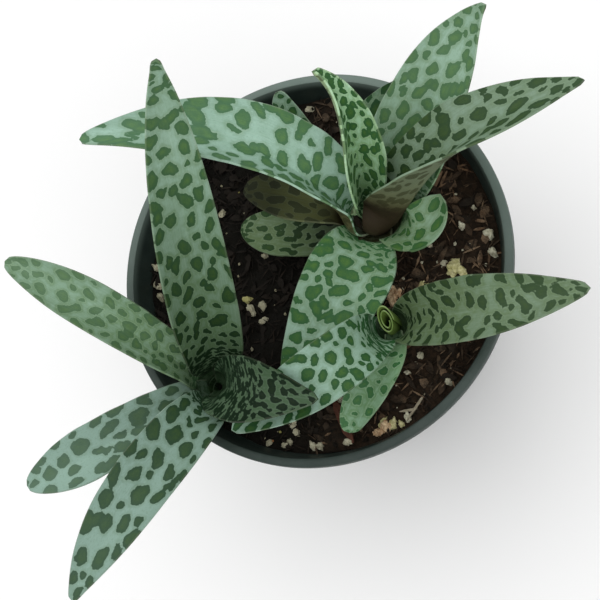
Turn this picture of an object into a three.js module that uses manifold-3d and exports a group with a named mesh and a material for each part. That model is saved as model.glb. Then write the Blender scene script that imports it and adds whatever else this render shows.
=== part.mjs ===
// A silver squill in a round nursery pot: three small bulbs in potting mix, each with a rosette of leaves.
// Millimetres, +Z up. The origin is the middle of the pot's underside. +Y points to the back of the pot.
import * as THREE from "three";
import { mergeVertices } from "three/addons/utils/BufferGeometryUtils.js";
import Module from "manifold-3d";

const wasm = await Module();
wasm.setup();

// Pot
const POT_HEIGHT = 80;
const RIM_RADIUS = 54;
const RIM_WIDTH = 2.4;
const LIP_HEIGHT = 3;
const BASE_RADIUS = 35.5;
const WALL = 1.3;
const FLOOR = 1.8;
const DRAIN = { holes: 6, radius: 4, ring: 25 };
const POT_SIDES = 56;

// Soil
const GAP = 0.3;
const SOIL_TOP = 72;
const SOIL_SIDES = 44;
const SOIL_RINGS = [49, 44, 38, 32, 26, 20, 14, 8];
const RELIEF = 0.9;

// Bulbs: where each stands, the radius of its neck and how wide it swells at the soil
const NECK_TOP = 78.6;
const BULB_FOOT = 58;
const BULB_SIDES = 24;
const BULBS = {
  a: { x: 18, y: 11.5, neck: 8, swell: 8.8 },
  b: { x: -26.5, y: -31.5, neck: 5.9, swell: 6.2 },
  c: { x: 22.2, y: -18.6, neck: 5.4, swell: 6.4 },
};

const LEAF_STEPS = 16;
const LEAF_ACROSS = 6;
const EDGE_THICKNESS = 0.6;
const RIB_THICKNESS = { base: 1.3, tip: 0.9 };

// Each leaf: the angle, radius and half width of its foot on the neck, and how far its first stretch leans
// out and rises. Then the point that its rib bends towards, its tip, its greatest half width, where along
// the leaf that is (belly), how full it stays beyond (taper) and the radius of its blunt tip. roll tips the
// blade about its rib, fold is the slope of its two halves and curl their hollow, in degrees. Pairs run
// from foot to tip.
const LEAVES = {
  leaf_a1: {
    bulb: "a", angle: 30, ring: 6.6, foot: 2.2, out: 2.5, up: 12,
    bend: [43, 47, 101], tip: [53.5, 50.5, 113], half: 11.5, belly: 0.4, taper: 2, blunt: 0.8,
    roll: [-8, 0], fold: [20, 8], curl: 18,
  },
  leaf_a2: {
    bulb: "a", angle: -38, ring: 4.2, foot: 4.2, out: 7, up: 9,
    bend: [35, 22.5, 106.5], tip: [75.5, 29, 112], half: 11, belly: 0.55, taper: 2.2, blunt: 0.8,
    roll: [75, 0], fold: [85, 5], curl: 18,
  },
  leaf_a3: {
    bulb: "a", angle: 125, ring: 3, foot: 0.8, out: 0.5, up: 14,
    bend: [23, 30, 110], tip: [15, 34.5, 124], half: 9.4, belly: 0.5, taper: 1.35, blunt: 0.8,
    roll: [-45, -30], fold: [55, 35], curl: 25,
  },
  leaf_a4: {
    bulb: "a", angle: 70, ring: 6.6, foot: 1.4, out: 3, up: 4,
    bend: [18.5, 34, 86.5], tip: [30, 43.5, 93], half: 10.5, belly: 0.55, taper: 1.6, blunt: 1,
    roll: [-14, -5], fold: [14, 6], curl: 14,
  },
  leaf_a5: {
    bulb: "a", angle: 175, ring: 4.9, foot: 3.6, out: 5, up: 11,
    bend: [-2, 36, 105], tip: [-57, 32.5, 105], half: 12.4, belly: 0.45, taper: 2.6, blunt: 1.6,
    roll: [-45, 0], fold: [42, 12], curl: 25,
  },
  leaf_a6: {
    bulb: "a", angle: -38, ring: 7, foot: 2.6, out: 3, up: 6,
    bend: [31, -0.4, 86], tip: [37.6, 12.8, 90], half: 5.8, belly: 0.55, taper: 4, blunt: 2.4,
    roll: [12, 0], fold: [18, 8], curl: 18,
  },
  leaf_a7: {
    bulb: "a", angle: 165, ring: 6.8, foot: 2, out: 4, up: 7,
    bend: [-9, 18, 89], tip: [-16, 20.5, 88], half: 8.4, belly: 0.5, taper: 1.6, blunt: 1.5,
    roll: [-20, -8], fold: [14, 8], curl: 18,
  },
  leaf_a8: {
    bulb: "a", angle: -103, ring: 6.8, foot: 3.5, out: 3, up: 4,
    bend: [1.1, -24.2, 83], tip: [-8, -36.5, 79], half: 11.7, belly: 0.35, taper: 1.8, blunt: 1,
    roll: [17, 10], fold: [10, 6], curl: 18,
  },
  leaf_a10: {
    bulb: "a", angle: 127, ring: 6.6, foot: 1.4, out: 2, up: 9,
    bend: [-6, 37, 88], tip: [-4, 44.8, 93], half: 4.2, belly: 0.6, taper: 2.4, blunt: 1.2,
    roll: [0, 0], fold: [20, 8], curl: 18,
  },
  leaf_a11: {
    bulb: "a", angle: 210, ring: 6.8, foot: 1.6, out: 4, up: 0.7,
    bend: [-10.6, 8.4, 79], tip: [-20.3, 13.2, 78.5], half: 6.5, belly: 0.6, taper: 2.3, blunt: 2,
    roll: [-4, 0], fold: [8, 6], curl: 12,
  },
  leaf_b1: {
    bulb: "b", angle: 70, ring: 4.7, foot: 3.4, out: 1.5, up: 14,
    bend: [-23, 29, 122], tip: [-20, 36.5, 136], half: 11, belly: 0.32, taper: 1.9, blunt: 1,
    roll: [-30, -20], fold: [34, 14], curl: 24,
  },
  leaf_b2: {
    bulb: "b", angle: 147, ring: 4.7, foot: 2.2, out: 3, up: 9,
    bend: [-51, -12, 100], tip: [-77, 0.5, 106], half: 7.2, belly: 0.58, taper: 2.8, blunt: 1.8,
    roll: [-25, 0], fold: [30, 12], curl: 20,
  },
  leaf_b3: {
    bulb: "b", angle: 206, ring: 4.7, foot: 1.9, out: 4, up: 5,
    bend: [-60, -53, 91], tip: [-74.5, -58, 93], half: 7.8, belly: 0.65, taper: 2, blunt: 1.8,
    roll: [8, 4], fold: [22, 10], curl: 18,
  },
  leaf_b4: {
    bulb: "b", angle: 272, ring: 4.7, foot: 3, out: 3, up: 10,
    bend: [-45, -66, 102], tip: [-53.5, -87, 104], half: 9, belly: 0.45, taper: 2.6, blunt: 1,
    roll: [15, 8], fold: [26, 10], curl: 20,
  },
  leaf_b5: {
    bulb: "b", angle: -14, ring: 3.4, foot: 3.6, out: 2, up: 10,
    bend: [-14, -37, 99], tip: [8, -39, 98], half: 9, belly: 0.58, taper: 1.9, blunt: 1.2,
    roll: [0, 0], fold: [22, 10], curl: 18,
  },
  leaf_c1: {
    bulb: "c", angle: 5, ring: 3.7, foot: 3.8, out: 3, up: 6,
    bend: [46, -20, 96], tip: [73.5, -17, 102], half: 8.8, belly: 0.5, taper: 2.6, blunt: 1.4,
    roll: [0, 0], fold: [26, 10], curl: 20,
  },
  leaf_c2: {
    bulb: "c", angle: 213, ring: 3.9, foot: 2.2, out: 1.5, up: 11,
    bend: [14, -32.4, 99], tip: [-18, -45, 90], half: 7.8, belly: 0.6, taper: 2.6, blunt: 1.5,
    roll: [36, 0], fold: [12, 8], curl: 16,
  },
  leaf_c3: {
    bulb: "c", angle: 281, ring: 4.2, foot: 1.5, out: 4, up: 1.5,
    bend: [10.7, -39.3, 81], tip: [10, -45.5, 77.5], half: 5.2, belly: 0.5, taper: 2, blunt: 1.8,
    roll: [0, 0], fold: [12, 8], curl: 14,
  },
};

// The young leaf of bulb c, still rolled up to an oval tube and cut on a slant: high at the back
const BUD = {
  height: 13, radius: 2.9, wide: 0.82, deep: 1.12, blade: 0.7, slack: 0.3, turns: 1.35,
  narrow: 0.95, slant: 0.66, back: 0.4,
};

// Grains and chips that lie in the soil, as [x, y, size]
const PERLITE = [
  [-45, 5, 3], [-46, -1, 3.2], [-46, -5, 2.8], [-41, -28, 3], [-2, 47, 3], [46, 6, 3.2], [46, 1, 3],
  [40, 9, 2.6],
  [37, 4, 2.6], [35, -1, 2.8], [28, -25, 3], [28, -30, 3], [36, -33, 2.4], [25, -42, 2.8], [9, -47, 3],
  [2, -46.5, 2.8], [5, -43.5, 2.6], [-2, -46.5, 2.6], [-10, -46.5, 2.4], [-6, -43.5, 2.6], [-14, -45, 2.4],
  [-18, -10, 4], [-14.5, -10, 3.4], [-18, -20, 3], [29, -7, 3.2], [-29, 19, 3.2], [39, -3, 3.8],
  [17.5, -42.5, 4.2],
  [21, -43.5, 4], [15, -45.5, 3.4], [40, -20, 2.4], [-35, 25, 2.6], [33, 28, 2.6], [-8, 33, 2.4],
];
const BARK_CHIPS = 40;
const CHIP_SIZE = { long: [5, 10], wide: [2.2, 4], thick: [1.2, 2.2] };
const STICK = { from: [30, -34], to: [24, -42], radius: 0.7 };
const STALK = { from: [5, -35], to: [9.5, -46.5], width: 2.6, thick: 1.6 };

const radians = THREE.MathUtils.degToRad;
const smooth = THREE.MathUtils.smoothstep;
const mix = THREE.MathUtils.lerp;

// Seeded draw between 0 and 1
let seed = 20;
function draw() {
  seed = (seed + 0x6d2b79f5) | 0;
  let value = Math.imul(seed ^ (seed >>> 15), 1 | seed);
  value = (value + Math.imul(value ^ (value >>> 7), 61 | value)) ^ value;
  return ((value ^ (value >>> 14)) >>> 0) / 4294967296;
}

// A closed geometry as a solid: vertices are shared first and the faces that collapse are dropped
function solidOf(geometry) {
  const bare = new THREE.BufferGeometry();
  bare.setAttribute("position", geometry.getAttribute("position"));
  bare.setIndex(geometry.getIndex());
  const merged = mergeVertices(bare, 1e-3);
  const corners = merged.getIndex().array;
  const faces = [];
  for (let i = 0; i < corners.length; i += 3) {
    const [a, b, c] = [corners[i], corners[i + 1], corners[i + 2]];
    if (a !== b && b !== c && c !== a) faces.push(a, b, c);
  }
  return new wasm.Manifold(
    new wasm.Mesh({
      numProp: 3,
      vertProperties: Float32Array.from(merged.getAttribute("position").array),
      triVerts: Uint32Array.from(faces),
    }),
  );
}

function geometryOf(solid) {
  const mesh = solid.getMesh();
  const geometry = new THREE.BufferGeometry();
  geometry.setAttribute("position", new THREE.BufferAttribute(mesh.vertProperties, 3));
  geometry.setIndex(new THREE.BufferAttribute(mesh.triVerts, 1));
  geometry.computeVertexNormals();
  return geometry;
}

// A profile of [radius, height] points turned about the upright axis
function turned(profile, sides) {
  const points = profile.map(([radius, height]) => new THREE.Vector2(radius, height));
  return new THREE.LatheGeometry(points, sides).rotateX(Math.PI / 2);
}

// The pot's inner radius at a height: its wall is a plain cone
const TOP_INSIDE = RIM_RADIUS - RIM_WIDTH;
function insideRadius(height) {
  return mix(BASE_RADIUS - WALL, TOP_INSIDE, (height - FLOOR) / (POT_HEIGHT - FLOOR));
}

function pot() {
  const lipUnder = POT_HEIGHT - LIP_HEIGHT;
  const wallUnderLip = insideRadius(lipUnder) + WALL;
  const profile = [
    [0, 0],
    [BASE_RADIUS - 0.8, 0],
    [BASE_RADIUS, 0.8],
    [wallUnderLip, lipUnder],
    [RIM_RADIUS - 0.3, lipUnder],
    [RIM_RADIUS, lipUnder + 0.6],
    [RIM_RADIUS, POT_HEIGHT - 0.6],
    [RIM_RADIUS - 0.6, POT_HEIGHT],
    [TOP_INSIDE + 0.4, POT_HEIGHT],
    [TOP_INSIDE, POT_HEIGHT - 0.4],
    [BASE_RADIUS - WALL, FLOOR],
    [0, FLOOR],
  ];
  let solid = solidOf(turned(profile, POT_SIDES));
  for (let i = 0; i < DRAIN.holes; i++) {
    const turn = (i / DRAIN.holes) * 2 * Math.PI;
    const drill = new THREE.CylinderGeometry(DRAIN.radius, DRAIN.radius, 4 * FLOOR, 16);
    drill.rotateX(Math.PI / 2).translate(DRAIN.ring * Math.cos(turn), DRAIN.ring * Math.sin(turn), 0);
    solid = solid.subtract(solidOf(drill));
  }
  return geometryOf(solid);
}

// Low heaps and hollows of the loose soil
function relief(x, y) {
  return RELIEF * (Math.sin(x / 6.1 + 1) * Math.cos(y / 7.3) + 0.6 * Math.sin(x / 2.9 - y / 3.7) - 0.2);
}

// A bulb's outline from its root plate to the soil, grown by a clearance for the hole that holds it
function bulbProfile(bulb, clearance) {
  const wide = bulb.swell + clearance;
  return [
    [0, BULB_FOOT - clearance],
    [3 + clearance, BULB_FOOT - clearance],
    [wide * 0.82, BULB_FOOT + 3.5],
    [wide, SOIL_TOP - 6],
    [wide, SOIL_TOP - 1],
  ];
}

function bulbGeometry(bulb) {
  const profile = bulbProfile(bulb, 0);
  profile.push([mix(bulb.neck, bulb.swell, 0.7), SOIL_TOP + 2.2]);
  profile.push([bulb.neck, NECK_TOP - 2.2]);
  profile.push([bulb.neck, NECK_TOP]);
  profile.push([0, NECK_TOP]);
  return turned(profile, BULB_SIDES).translate(bulb.x, bulb.y, 0);
}

function bulbHole(bulb) {
  const profile = bulbProfile(bulb, GAP);
  profile.push([bulb.swell + GAP, SOIL_TOP + 12]);
  profile.push([0, SOIL_TOP + 12]);
  return solidOf(turned(profile, BULB_SIDES).translate(bulb.x, bulb.y, 0));
}

function clearOfBulbs(x, y, margin) {
  return Object.values(BULBS).every((bulb) => Math.hypot(x - bulb.x, y - bulb.y) > bulb.swell + margin);
}

// A lump or chip turned at random about its upright axis and half sunk in the soil
function laid(geometry, x, y, tilt) {
  geometry.rotateX(tilt * (draw() - 0.5)).rotateY(tilt * (draw() - 0.5)).rotateZ(2 * Math.PI * draw());
  return solidOf(geometry.translate(x, y, SOIL_TOP + relief(x, y)));
}

// A straight bar lying on the soil between two points
function barBetween({ from, to }, width, thick) {
  const length = Math.hypot(to[0] - from[0], to[1] - from[1]);
  const turn = Math.atan2(to[1] - from[1], to[0] - from[0]);
  const middle = [(from[0] + to[0]) / 2, (from[1] + to[1]) / 2];
  const bar = new THREE.BoxGeometry(length, width, thick).rotateZ(turn);
  return solidOf(bar.translate(middle[0], middle[1], SOIL_TOP + RELIEF));
}

function soil() {
  const bottom = FLOOR + GAP;
  const profile = [[0, bottom], [insideRadius(bottom) - GAP, bottom]];
  for (const radius of [insideRadius(SOIL_TOP) - GAP, ...SOIL_RINGS, 0]) profile.push([radius, SOIL_TOP]);
  const body = turned(profile, SOIL_SIDES);
  const place = body.getAttribute("position");
  for (let i = 0; i < place.count; i++) {
    const [x, y, z] = [place.getX(i), place.getY(i), place.getZ(i)];
    if (z > bottom + 1 && Math.hypot(x, y) < SOIL_RINGS[0] + 0.5) place.setZ(i, z + relief(x, y));
  }
  let solid = solidOf(body);
  for (const [x, y, size] of PERLITE) {
    if (Math.hypot(x, y) + size / 2 > insideRadius(SOIL_TOP) - 1) continue;
    solid = solid.add(laid(new THREE.IcosahedronGeometry(size / 2).scale(1, 0.85, 0.8), x, y, 2));
  }
  for (let placed = 0; placed < BARK_CHIPS; ) {
    const radius = 43 * Math.sqrt(draw());
    const turn = 2 * Math.PI * draw();
    const [x, y] = [radius * Math.cos(turn), radius * Math.sin(turn)];
    if (!clearOfBulbs(x, y, 6)) continue;
    const ranges = [CHIP_SIZE.long, CHIP_SIZE.wide, CHIP_SIZE.thick];
    const sizes = ranges.map(([low, high]) => mix(low, high, draw()));
    solid = solid.add(laid(new THREE.BoxGeometry(...sizes), x, y, 0.5));
    placed += 1;
  }
  solid = solid.add(barBetween(STICK, 2 * STICK.radius, 2 * STICK.radius));
  solid = solid.add(barBetween(STALK, STALK.width, STALK.thick));
  for (const bulb of Object.values(BULBS)) solid = solid.subtract(bulbHole(bulb));
  const bodies = solid.decompose().sort((one, other) => other.volume() - one.volume());
  return geometryOf(bodies[0]);
}

// The rib of a leaf: up and out from its foot on the neck, over its bend and down or up to its tip
function ribOf(leaf) {
  const bulb = BULBS[leaf.bulb];
  const outward = new THREE.Vector3(Math.cos(radians(leaf.angle)), Math.sin(radians(leaf.angle)), 0);
  const underside = (RIB_THICKNESS.base * leaf.out) / Math.hypot(leaf.out, leaf.up);
  const foot = new THREE.Vector3(bulb.x, bulb.y, NECK_TOP + GAP + underside);
  foot.addScaledVector(outward, leaf.ring);
  const rise = foot.clone().addScaledVector(outward, leaf.out);
  rise.z += leaf.up;
  const [bend, tip] = [new THREE.Vector3(...leaf.bend), new THREE.Vector3(...leaf.tip)];
  return new THREE.CubicBezierCurve3(foot, rise, bend, tip);
}

// Half the blade's width: it grows from the foot to the belly, then narrows to a round tip
function halfWidth(leaf, rib, along) {
  if (along < leaf.belly) {
    return mix(leaf.foot, leaf.half, Math.sin((Math.PI / 2) * (along / leaf.belly)));
  }
  const tapered = leaf.half * (1 - Math.pow((along - leaf.belly) / (1 - leaf.belly), leaf.taper));
  const left = (1 - along) * rib.getLength();
  return Math.sqrt(tapered * tapered + 2 * leaf.blunt * left * Math.exp(-left / 2 / leaf.blunt));
}

// A point of the blade: along runs 0 to 1 from foot to tip, across -1 to 1 from the left edge to the right.
// At its foot the blade is an arc about the neck. Higher up it opens to two halves that rise from the rib.
function bladePoint(leaf, rib, along, across, below) {
  const forward = new THREE.Vector3();
  rib.getTangent(along, forward);
  const side = new THREE.Vector3().crossVectors(forward, new THREE.Vector3(0, 0, 1)).normalize();
  const roll = radians(smooth(along, 0, 0.2) * mix(leaf.roll[0], leaf.roll[1], along));
  side.applyAxisAngle(forward, -roll);
  const up = new THREE.Vector3().crossVectors(side, forward);
  const open = smooth(along, 0, 0.25);
  const fold = radians(open * mix(leaf.fold[0], leaf.fold[1], along));
  const curl = mix(leaf.foot / leaf.ring, radians(leaf.curl), open);
  const reach = Math.abs(across);
  const slope = fold + curl * reach;
  const width = halfWidth(leaf, rib, along);
  const sideways = (Math.sign(across) * (Math.sin(slope) - Math.sin(fold))) / curl;
  const upwards = (Math.cos(fold) - Math.cos(slope)) / curl;
  const point = rib.getPoint(along);
  point.addScaledVector(side, width * sideways).addScaledVector(up, width * upwards);
  if (below && along < 1) {
    const ridge = mix(RIB_THICKNESS.base, RIB_THICKNESS.tip, along);
    const thickness = mix(ridge, EDGE_THICKNESS, reach * reach);
    const lean = across === 0 ? 0 : Math.sign(across) * slope;
    point.addScaledVector(side, thickness * Math.sin(lean));
    point.addScaledVector(up, -thickness * Math.cos(lean));
  }
  return point;
}

// Two like sheets, the upper and the lower face of the blade, joined by a strip all round
function leafGeometry(leaf) {
  const rib = ribOf(leaf);
  const sheet = new THREE.PlaneGeometry(2, 1, LEAF_ACROSS, LEAF_STEPS);
  const grid = sheet.getAttribute("position");
  const places = [];
  for (const below of [false, true]) {
    for (let i = 0; i < grid.count; i++) {
      places.push(...bladePoint(leaf, rib, grid.getY(i) + 0.5, grid.getX(i), below).toArray());
    }
  }
  const faces = [...sheet.getIndex().array];
  const lower = grid.count;
  for (let i = 0, last = faces.length; i < last; i += 3) {
    faces.push(faces[i] + lower, faces[i + 2] + lower, faces[i + 1] + lower);
  }
  const row = LEAF_ACROSS + 1;
  const border = [];
  for (let i = 0; i < LEAF_ACROSS; i++) border.push(i);
  for (let i = 0; i < LEAF_STEPS; i++) border.push(LEAF_ACROSS + i * row);
  for (let i = LEAF_ACROSS; i > 0; i--) border.push(LEAF_STEPS * row + i);
  for (let i = LEAF_STEPS; i > 0; i--) border.push(i * row);
  border.forEach((a, i) => {
    const b = border[(i + 1) % border.length];
    faces.push(a, b, b + lower, a, b + lower, a + lower);
  });
  const blade = new THREE.BufferGeometry();
  blade.setAttribute("position", new THREE.Float32BufferAttribute(places, 3));
  blade.setIndex(faces);
  return geometryOf(solidOf(blade));
}

// The rolled leaf: a strip wound on itself, drawn upwards, narrowed to its top and cut on a slant
function budGeometry() {
  const outline = new THREE.Shape();
  const turns = 2 * Math.PI * BUD.turns;
  const steps = Math.round(14 * BUD.turns);
  const pitch = (BUD.blade + BUD.slack) / (2 * Math.PI);
  const rim = [];
  for (let i = 0; i <= steps; i++) rim.push([(i / steps) * turns, BUD.radius]);
  for (let i = steps; i >= 0; i--) rim.push([(i / steps) * turns, BUD.radius - BUD.blade]);
  rim.forEach(([angle, radius], i) => {
    const wound = radius - pitch * angle;
    const [x, y] = [wound * Math.cos(angle), wound * Math.sin(angle)];
    if (i === 0) outline.moveTo(x, y);
    else outline.lineTo(x, y);
  });
  const scroll = new THREE.ExtrudeGeometry(outline, { depth: BUD.height, steps: 5, bevelEnabled: false });
  const place = scroll.getAttribute("position");
  const bulb = BULBS.c;
  for (let i = 0; i < place.count; i++) {
    const up = place.getZ(i) / BUD.height;
    const narrow = mix(1, BUD.narrow, up * up);
    const slant = 1 - BUD.slant * 0.5 * (1 - place.getY(i) / BUD.radius);
    const x = bulb.x + narrow * BUD.wide * place.getX(i);
    const y = bulb.y + narrow * BUD.deep * place.getY(i) + BUD.back;
    place.setXYZ(i, x, y, NECK_TOP + GAP + up * BUD.height * slant);
  }
  return geometryOf(solidOf(scroll));
}

function material(color, roughness) {
  return new THREE.MeshStandardMaterial({ color, roughness, metalness: 0 });
}

const FINISH = {
  pot: material(0x56675e, 0.55),
  soil: material(0x241c14, 0.95),
  bulb: material(0x4a3427, 0.6),
  leaf: material(0x8fb39c, 0.5),
  bud: material(0x7d9a35, 0.45),
};

const plant = new THREE.Group();

function place(name, geometry, finish) {
  const mesh = new THREE.Mesh(geometry, finish);
  mesh.name = name;
  plant.add(mesh);
}

place("pot", pot(), FINISH.pot);
place("soil", soil(), FINISH.soil);
for (const [key, bulb] of Object.entries(BULBS)) {
  place("bulb_" + key, geometryOf(solidOf(bulbGeometry(bulb))), FINISH.bulb);
}
for (const [name, leaf] of Object.entries(LEAVES)) place(name, leafGeometry(leaf), FINISH.leaf);
place("bud_c", budGeometry(), FINISH.bud);

export default plant;
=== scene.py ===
"""A potted silver squill: the looks of its pot, potting mix, bulbs and spotted leaves.

Lengths are in metres once they are in Blender. The tables of sizes are in millimetres, as in the part's
source, and MM turns one into the other. +Z is up and +Y points to the back of the pot.
"""

import math
import random

import bpy
import numpy as np
from mathutils import Matrix, Quaternion, Vector, noise


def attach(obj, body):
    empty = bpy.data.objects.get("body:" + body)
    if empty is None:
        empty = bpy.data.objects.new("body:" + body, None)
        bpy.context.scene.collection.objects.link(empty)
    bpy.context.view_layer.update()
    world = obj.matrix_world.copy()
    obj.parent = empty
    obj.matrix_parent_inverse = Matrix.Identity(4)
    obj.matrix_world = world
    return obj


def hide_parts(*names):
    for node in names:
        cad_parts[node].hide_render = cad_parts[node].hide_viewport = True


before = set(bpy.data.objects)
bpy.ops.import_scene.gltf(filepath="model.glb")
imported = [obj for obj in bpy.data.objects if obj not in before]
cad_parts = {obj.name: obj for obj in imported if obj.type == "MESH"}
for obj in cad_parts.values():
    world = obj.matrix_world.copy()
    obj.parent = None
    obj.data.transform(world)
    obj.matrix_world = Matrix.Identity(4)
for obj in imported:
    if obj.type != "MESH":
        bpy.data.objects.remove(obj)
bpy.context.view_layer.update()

bl_info = {
    "name": "Potted silver squill",
    "version": (1, 0, 0),
    "blender": (4, 5, 0),
    "location": "View3D > Sidebar > Squill",
    "description": "Builds a silver squill with spotted leaves in a round nursery pot",
    "category": "Object",
}

MM = 0.001
UP = Vector((0, 0, 1))

# Pot, as in the part's source
POT_HEIGHT = 80
RIM_RADIUS = 54
RIM_WIDTH = 2.4
LIP_HEIGHT = 3
BASE_RADIUS = 35.5
WALL = 1.3
FLOOR = 1.8
DRAIN = {"holes": 6, "radius": 4, "ring": 25}

# Soil and bulbs, as in the part's source. brown is how brown the sheaths are, from dark green to brown.
GAP = 0.3
SOIL_TOP = 72
SOIL_RELIEF = 0.9
NECK_TOP = 78.6
BULB_FOOT = 58
BULBS = {
    "a": {"x": 18, "y": 11.5, "neck": 8, "swell": 8.8, "brown": 1},
    "b": {"x": -26.5, "y": -31.5, "neck": 5.9, "swell": 6.2, "brown": 0},
    "c": {"x": 22.2, "y": -18.6, "neck": 5.4, "swell": 6.4, "brown": 0.1},
}
# The rims of the sheaths nested in a neck, as a share of its radius and how far they lie below its top
SHEATH_RIMS = ((0.74, 2.2), (0.56, 3.2), (0.38, 4.2))
# Facets round a bulb and rows up it, how deep the pleats of its tunic are and how torn its rim is
BULB_SIDES = 96
BULB_ROWS = 22
PLEAT = 0.16
TORN = 0.5
# The soil's facets and rings, the height of its crumb, its rise round each bulb, how pale its body is
# beside the litter on it, how pale the most shaded soil stays under its painted shade, and how far to the
# right it is all dry and lit
SOIL_SIDES = 300
SOIL_RINGS = 84
SOIL_CRUMB = 0.8
COLLAR = {"rise": 1.6, "reach": 2.5}
BODY_TONE = 0.45
SHADED_DAMP = 0.04
LIT_DRY_AT = 26
# The seed of the soil's random draws and of the noise that bends its slivers
SEED = 7

# Leaves. What most of them share comes first, and each leaf gives what differs.
# The shape is as in the part's source. angle and ring place the leaf on its neck, out and up lead its rib
# off, and bend and tip are the rib's last two points. half is the leaf's half width, belly where along it
# that is, taper how long it stays full and blunt how round it ends. roll, fold and curl shape its section,
# in degrees.
# The looks follow, and a pair runs from foot to tip. clasp is the half angle of the sheath round the neck,
# draw_in how far its root closes towards the neck's middle, and husk the share of the leaf that the
# sheath's own colour covers. bloom is how silvery the leaf is and warm how olive. shade is how light the
# leaf is, mostly painted light and shade: low where a leaf lies in the shadow of others, high where a face
# turned from the lamps is painted lit, and partly the leaf's own tone. spot is the size of its blotches in
# millimetres, long their length to width, apart the space between them and slant their lean in degrees.
# stripes is the share of the leaf, from its foot, that carries stripes across instead, and near which the
# blotches lean by foot_slant. faint is how far the blotches fade.
USUAL_LEAF = {
    "roll": (0, 0), "curl": 18, "draw_in": 0.12, "husk": 0.05, "warm": 0, "slant": 0, "stripes": 0,
    "foot_slant": 0, "faint": (0, 0),
}
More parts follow.
